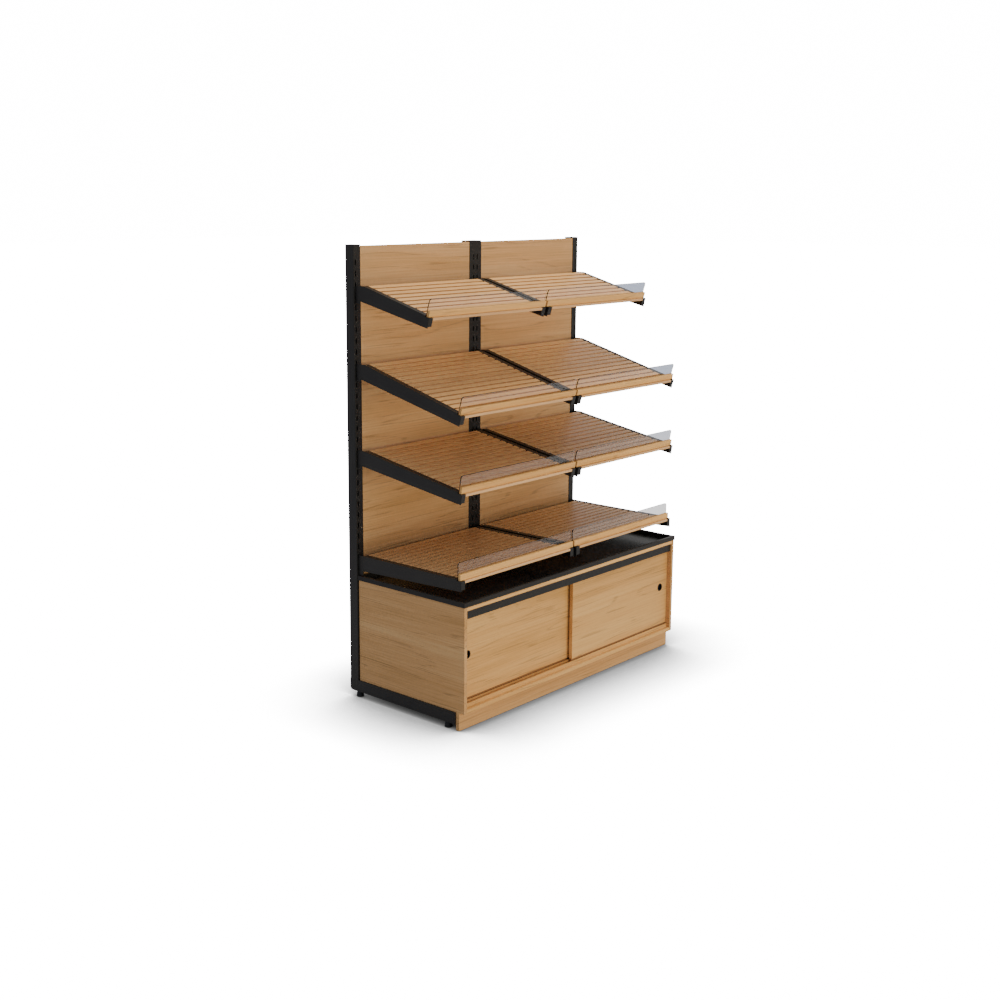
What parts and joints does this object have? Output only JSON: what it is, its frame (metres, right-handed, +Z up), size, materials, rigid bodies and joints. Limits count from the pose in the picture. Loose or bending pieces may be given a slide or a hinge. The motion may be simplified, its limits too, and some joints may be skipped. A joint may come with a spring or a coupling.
{
  "type": "display shelf",
  "caption": "Free-standing two-bay shop shelf: slotted steel uprights, oak back panels, tilted slatted shelves with clear guards, and a base cabinet with sliding doors.",
  "frame": {"origin": "on the floor under the middle of the overall box", "axes": "+X to the right along the front, -Y towards the customer, +Z up"},
  "size_m": [1.644, 0.7162, 2.109],
  "materials": {
    "black_steel": "fine-textured matt black powder coat",
    "oak_board": "satin oak-look board with grain along its length",
    "clear_guard": "clear polished acrylic",
    "black_plastic": "moulded matt black",
    "brown_plastic": "moulded matt brown"
  },
  "bodies": {
    "frame": {"upright_left": "black_steel", "upright_middle": "black_steel", "upright_right": "black_steel", "base_leg_left": "black_steel", "base_leg_middle": "black_steel", "base_leg_right": "black_steel", "back_panel_left": "oak_board", "back_panel_right": "oak_board", "tie_rails": "black_steel", "cabinet_side_left": "oak_board", "cabinet_side_right": "oak_board", "cabinet_top": "oak_board", "cabinet_bottom": "oak_board", "plinth": "oak_board", "door_top_track": "black_steel", "tray": "black_steel"},
    "foot_left_back": {"foot_left_back": "black_plastic"},
    "foot_left_front": {"foot_left_front": "black_plastic"},
    "foot_middle_back": {"foot_middle_back": "black_plastic"},
    "foot_middle_front": {"foot_middle_front": "black_plastic"},
    "foot_right_back": {"foot_right_back": "black_plastic"},
    "foot_right_front": {"foot_right_front": "black_plastic"},
    "door_left": {"door_left": "oak_board", "door_runner_left": "brown_plastic", "finger_pull_left": "black_plastic"},
    "door_right": {"door_right": "oak_board", "door_runner_right": "brown_plastic", "finger_pull_right": "black_plastic"},
    "shelf_row_1_left": {"brackets_row_1_left": "black_steel", "deck_row_1_left": "oak_board", "lip_row_1_left": "oak_board", "guard_row_1_left": "clear_guard"},
    "shelf_row_1_right": {"brackets_row_1_right": "black_steel", "deck_row_1_right": "oak_board", "lip_row_1_right": "oak_board", "guard_row_1_right": "clear_guard"},
    "shelf_row_2_left": {"brackets_row_2_left": "black_steel", "deck_row_2_left": "oak_board", "lip_row_2_left": "oak_board", "guard_row_2_left": "clear_guard"},
    "shelf_row_2_right": {"brackets_row_2_right": "black_steel", "deck_row_2_right": "oak_board", "lip_row_2_right": "oak_board", "guard_row_2_right": "clear_guard"},
    "shelf_row_3_left": {"brackets_row_3_left": "black_steel", "deck_row_3_left": "oak_board", "lip_row_3_left": "oak_board", "guard_row_3_left": "clear_guard"},
    "shelf_row_3_right": {"brackets_row_3_right": "black_steel", "deck_row_3_right": "oak_board", "lip_row_3_right": "oak_board", "guard_row_3_right": "clear_guard"},
    "shelf_row_4_left": {"brackets_row_4_left": "black_steel", "deck_row_4_left": "oak_board", "lip_row_4_left": "oak_board", "guard_row_4_left": "clear_guard"},
    "shelf_row_4_right": {"brackets_row_4_right": "black_steel", "deck_row_4_right": "oak_board", "lip_row_4_right": "oak_board", "guard_row_4_right": "clear_guard"}
  },
  "joints": [
    {"name": "foot_left_back_screw", "type": "hinge", "parent": "frame", "child": "foot_left_back", "pos_m": [-0.8, 0.3141, 0.031], "axis": [0, 0, 1], "continuous": true},
    {"name": "foot_left_front_screw", "type": "hinge", "parent": "frame", "child": "foot_left_front", "pos_m": [-0.8, -0.2486, 0.031], "axis": [0, 0, 1], "continuous": true},
    {"name": "foot_middle_back_screw", "type": "hinge", "parent": "frame", "child": "foot_middle_back", "pos_m": [0, 0.3141, 0.031], "axis": [0, 0, 1], "continuous": true},
    {"name": "foot_middle_front_screw", "type": "hinge", "parent": "frame", "child": "foot_middle_front", "pos_m": [0, -0.2486, 0.031], "axis": [0, 0, 1], "continuous": true},
    {"name": "foot_right_back_screw", "type": "hinge", "parent": "frame", "child": "foot_right_back", "pos_m": [0.8, 0.3141, 0.031], "axis": [0, 0, 1], "continuous": true},
    {"name": "foot_right_front_screw", "type": "hinge", "parent": "frame", "child": "foot_right_front", "pos_m": [0.8, -0.2486, 0.031], "axis": [0, 0, 1], "continuous": true},
    {"name": "door_left_slide", "type": "slide", "parent": "frame", "child": "door_left", "axis": [1, 0, 0], "range_m": [0, 0.786]},
    {"name": "door_right_slide", "type": "slide", "parent": "frame", "child": "door_right", "axis": [-1, 0, 0], "range_m": [0, 0.786]},
    {"name": "shelf_row_1_left_lift", "type": "hinge", "parent": "frame", "child": "shelf_row_1_left", "pos_m": [0, 0.3061, 1.9185], "axis": [-1, 0, 0], "range_deg": [0, 12]},
    {"name": "shelf_row_1_right_lift", "type": "hinge", "parent": "frame", "child": "shelf_row_1_right", "pos_m": [0, 0.3061, 1.9185], "axis": [-1, 0, 0], "range_deg": [0, 12]},
    {"name": "shelf_row_2_left_lift", "type": "hinge", "parent": "frame", "child": "shelf_row_2_left", "pos_m": [0, 0.3061, 1.5685], "axis": [-1, 0, 0], "range_deg": [0, 12]},
    {"name": "shelf_row_2_right_lift", "type": "hinge", "parent": "frame", "child": "shelf_row_2_right", "pos_m": [0, 0.3061, 1.5685], "axis": [-1, 0, 0], "range_deg": [0, 12]},
    {"name": "shelf_row_3_left_lift", "type": "hinge", "parent": "frame", "child": "shelf_row_3_left", "pos_m": [0, 0.3061, 1.1685], "axis": [-1, 0, 0], "range_deg": [0, 12]},
    {"name": "shelf_row_3_right_lift", "type": "hinge", "parent": "frame", "child": "shelf_row_3_right", "pos_m": [0, 0.3061, 1.1685], "axis": [-1, 0, 0], "range_deg": [0, 12]},
    {"name": "shelf_row_4_left_lift", "type": "hinge", "parent": "frame", "child": "shelf_row_4_left", "pos_m": [0, 0.3061, 0.6685], "axis": [-1, 0, 0], "range_deg": [0, 12]},
    {"name": "shelf_row_4_right_lift", "type": "hinge", "parent": "frame", "child": "shelf_row_4_right", "pos_m": [0, 0.3061, 0.6685], "axis": [-1, 0, 0], "range_deg": [0, 12]}
  ]
}
